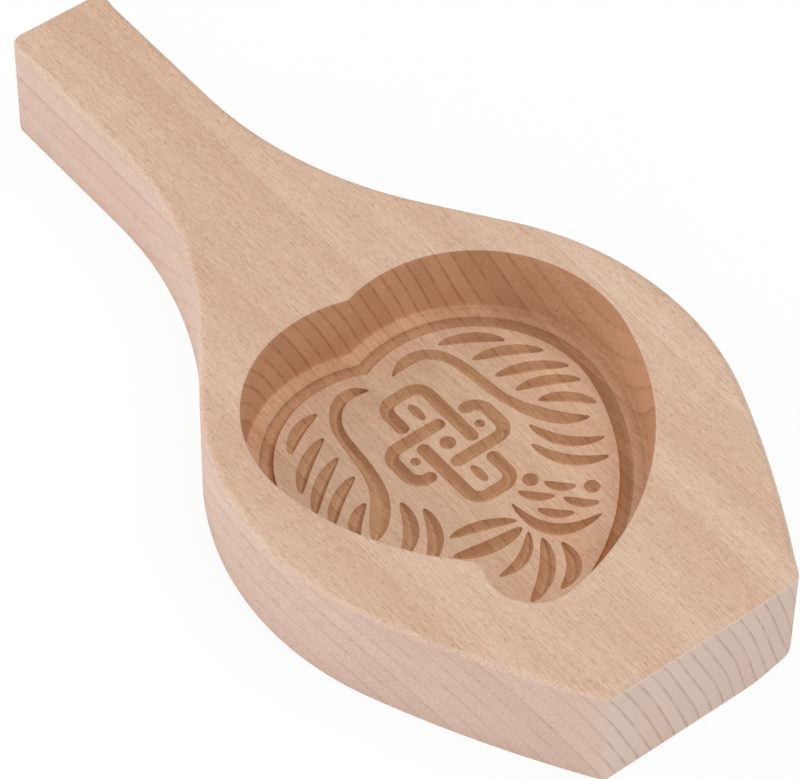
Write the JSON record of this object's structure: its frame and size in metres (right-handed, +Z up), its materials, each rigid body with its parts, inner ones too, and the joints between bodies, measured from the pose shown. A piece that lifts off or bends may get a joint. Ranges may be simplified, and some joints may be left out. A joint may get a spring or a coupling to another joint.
{
  "type": "wooden mooncake mold",
  "caption": "One-piece wooden cake mold: a flat handled board with a deep peach-shaped pocket and a carved floor that leaves an ornament on the pressed cake.",
  "frame": {"origin": "middle of the flat underside, halfway along the length and the width", "axes": "+X from the handle to the flat head end, +Z up, out of the carved face, +Y across the board"},
  "size_m": [0.24, 0.1176, 0.0288],
  "materials": {
    "beech": "bare sanded beech, matt"
  },
  "bodies": {
    "root": {"mold_body": "beech"}
  },
  "joints": []
}
